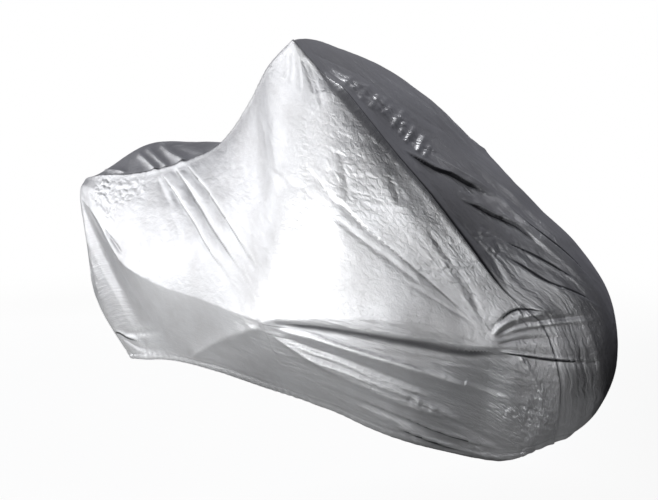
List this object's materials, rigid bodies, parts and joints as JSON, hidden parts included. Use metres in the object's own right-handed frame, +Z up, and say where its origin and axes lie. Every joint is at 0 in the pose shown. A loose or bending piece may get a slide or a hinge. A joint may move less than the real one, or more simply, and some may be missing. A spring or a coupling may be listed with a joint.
{
  "type": "motorcycle cover",
  "caption": "Fitted cover of silver coated cloth in the shape it takes over a parked motorcycle, hollow and open below, with an elastic hem; it keeps off rain, dust and sun.",
  "frame": {"origin": "underside of the cloth on top of the saddle, on the machine's centre plane, where the machine carries the cover", "axes": "+X forward to the front wheel, +Y to the machine's left, +Z up"},
  "size_m": [2.1162, 0.7798, 1.1386],
  "materials": {
    "silver_cloth": "satin silver coating on thin woven polyester"
  },
  "bodies": {
    "root": {"panel_right": "silver_cloth", "panel_centre": "silver_cloth", "panel_left": "silver_cloth"}
  },
  "joints": []
}
